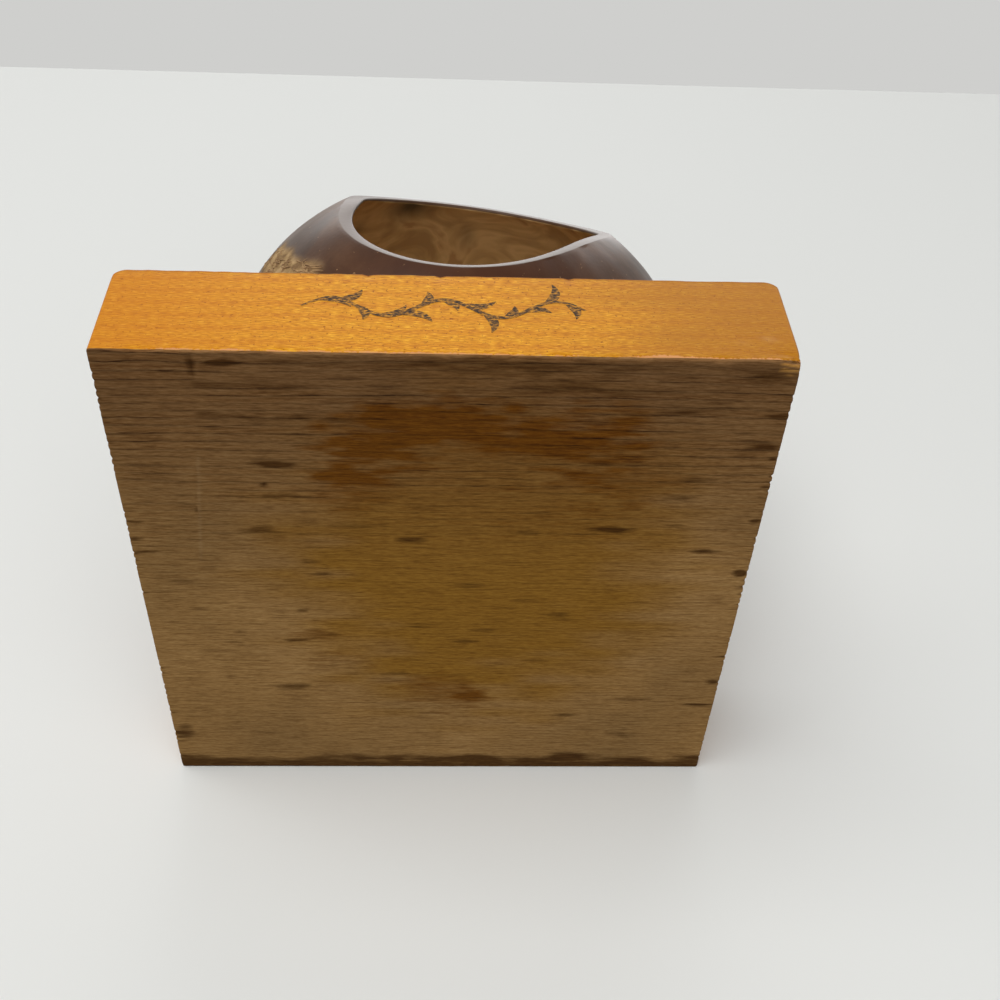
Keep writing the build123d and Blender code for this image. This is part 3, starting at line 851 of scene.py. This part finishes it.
# Screw and washer.
# A round-head steel wood screw with a slot, on a plain pressed washer, in the floor of the
# shell. It goes through the shell and the glue into the board, and holds the three together.
steel, tree, shader, mm = new_material("plain_steel_dulled")
tarnish = add(tree, "ShaderNodeTexNoise", {"Vector": mm, "Scale": 0.6, "Detail": 4})
steel_tone = add(tree, "ShaderNodeValToRGB", {"Fac": tarnish.outputs[0]},
                 stops=[(0.3, "6f6a62"), (0.55, "a19c94"), (0.75, "b8b4ac")])
steel_gloss = add(tree, "ShaderNodeMapRange", {0: tarnish.outputs[0], 3: 0.5, 4: 0.28})
tree.links.new(steel_tone.outputs[0], shader.inputs["Base Color"])
tree.links.new(steel_gloss.outputs[0], shader.inputs["Roughness"])
shader.inputs["Metallic"].default_value = 1.0
for node in ("screw_washer", "fixing_screw"):
    cad_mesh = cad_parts[node].data
    cad_mesh.materials.clear()
    cad_mesh.materials.append(steel)

# Table, floor and light.
# The holder was photographed lying on its back on a white table, so a pale table stands
# behind its back face for that view, and a pale floor lies under it for every other view.
TABLE_FAR, TABLE_NEAR, TABLE_HALF = 297.0, -600.0, 600.0   # its ends along Z, half its width
TABLE_GAP, FLOOR_GAP = 0.02, 0.05     # keep the two just off the board's faces
FLOOR_HALF = 3000.0
LAMP_FAR, LAMP_AIM = 1.2, 0.05        # metres from the point that lamps face, and its height
SKY_LIGHT = 0.17                      # strength of the white sky that lights the object


def stage_plane(name, corners_mm, colour, see_only):
    """A plane that only the camera sees, and only where see_only says, as a node output."""
    mesh = bpy.data.meshes.new(name)
    mesh.from_pydata([tuple(c * MM for c in corner) for corner in corners_mm], [], [(0, 1, 2, 3)])
    plane = bpy.data.objects.new(name, mesh)
    bpy.context.scene.collection.objects.link(plane)
    look = bpy.data.materials.new(name)
    look.use_nodes = True
    tree = look.node_tree
    tree.nodes.clear()
    paper = add(tree, "ShaderNodeBsdfDiffuse", {"Color": linear(colour)})
    clear = add(tree, "ShaderNodeBsdfTransparent")
    shown = see_only(tree)
    mixed = add(tree, "ShaderNodeMixShader", {0: shown, 1: clear.outputs[0],
                2: paper.outputs[0]})
    add(tree, "ShaderNodeOutputMaterial", {"Surface": mixed.outputs[0]})
    mesh.materials.append(look)
    plane.visible_diffuse = plane.visible_glossy = False
    plane.visible_transmission = plane.visible_shadow = False


def floor_shows(tree):
    """The floor shows from above only."""
    facing = add(tree, "ShaderNodeNewGeometry").outputs["Backfacing"]
    return add(tree, "ShaderNodeMath", {0: 1.0, 1: facing}, operation="SUBTRACT").outputs[0]


def table_shows(tree):
    """The table shows from its upper side, to rays that come from below the floor's level."""
    geometry = add(tree, "ShaderNodeNewGeometry")
    height = add(tree, "ShaderNodeSeparateXYZ", {0: geometry.outputs["Position"]}).outputs["Z"]
    low = add(tree, "ShaderNodeMath", {0: height, 1: -FLOOR_GAP * MM}, operation="LESS_THAN")
    depth = add(tree, "ShaderNodeLightPath").outputs["Transparent Depth"]
    through = add(tree, "ShaderNodeMath", {0: depth, 1: 0.5}, operation="GREATER_THAN")
    either = add(tree, "ShaderNodeMath", {0: low.outputs[0], 1: through.outputs[0]},
                 operation="MAXIMUM")
    front = add(tree, "ShaderNodeMath", {0: 1.0, 1: geometry.outputs["Backfacing"]},
                operation="SUBTRACT")
    return add(tree, "ShaderNodeMath", {0: either.outputs[0], 1: front.outputs[0]},
               operation="MULTIPLY").outputs[0]


table_y = BOARD_HALF + TABLE_GAP
stage_plane("white_table", [(-TABLE_HALF, table_y, TABLE_NEAR), (TABLE_HALF, table_y, TABLE_NEAR),
                            (TABLE_HALF, table_y, TABLE_FAR), (-TABLE_HALF, table_y, TABLE_FAR)],
            "e6e7e4", table_shows)
stage_plane("white_floor", [(-FLOOR_HALF, -FLOOR_HALF, -FLOOR_GAP),
                            (FLOOR_HALF, -FLOOR_HALF, -FLOOR_GAP),
                            (FLOOR_HALF, FLOOR_HALF, -FLOOR_GAP),
                            (-FLOOR_HALF, FLOOR_HALF, -FLOOR_GAP)], "e4e4e2", floor_shows)

# The camera, gloss and glass see pale walls, and the object is lit by a weaker white sky
world = bpy.data.worlds.new("studio")
bpy.context.scene.world = world
world.use_nodes = True
tree = world.node_tree
tree.nodes.clear()
path = add(tree, "ShaderNodeLightPath").outputs
camera_or_gloss = add(tree, "ShaderNodeMath", {0: path["Is Camera Ray"],
                      1: path["Is Glossy Ray"]}, operation="MAXIMUM")
seen = add(tree, "ShaderNodeMath", {0: camera_or_gloss.outputs[0],
           1: path["Is Transmission Ray"]}, operation="MAXIMUM")
walls = add(tree, "ShaderNodeBackground", {"Color": linear("cfcfcd"), "Strength": 1.0})
sky = add(tree, "ShaderNodeBackground", {"Color": linear("ffffff"), "Strength": SKY_LIGHT})
both = add(tree, "ShaderNodeMixShader", {0: seen.outputs[0], 1: sky.outputs[0],
           2: walls.outputs[0]})
add(tree, "ShaderNodeOutputWorld", {"Surface": both.outputs[0]})

# Each lamp: direction it stands in, width in metres, and its share of full light
LAMPS = {
    "window_key": ((-0.4, -1.0, -0.05), 0.8, 0.53),
    "room_low": ((0.05, -0.8, -0.6), 1.2, 0.52),
    "ceiling_top": ((0.1, -0.2, 1.0), 1.2, 0.56),
    "room_back": ((0.6, 1.0, 0.5), 1.0, 0.28),
}
aim = Vector((0, 0, LAMP_AIM))
for name, (direction, width, lamp_share) in LAMPS.items():
    lamp = bpy.data.lights.new(name, "AREA")
    lamp.size = width
    lamp.energy = lamp_share * math.pi**2 * LAMP_FAR**2
    stand = bpy.data.objects.new(name, lamp)
    away_from = Vector(direction).normalized()
    stand.location = aim + away_from * LAMP_FAR
    stand.rotation_mode = "QUATERNION"
    stand.rotation_quaternion = away_from.to_track_quat("Z", "Y")
    bpy.context.scene.collection.objects.link(stand)
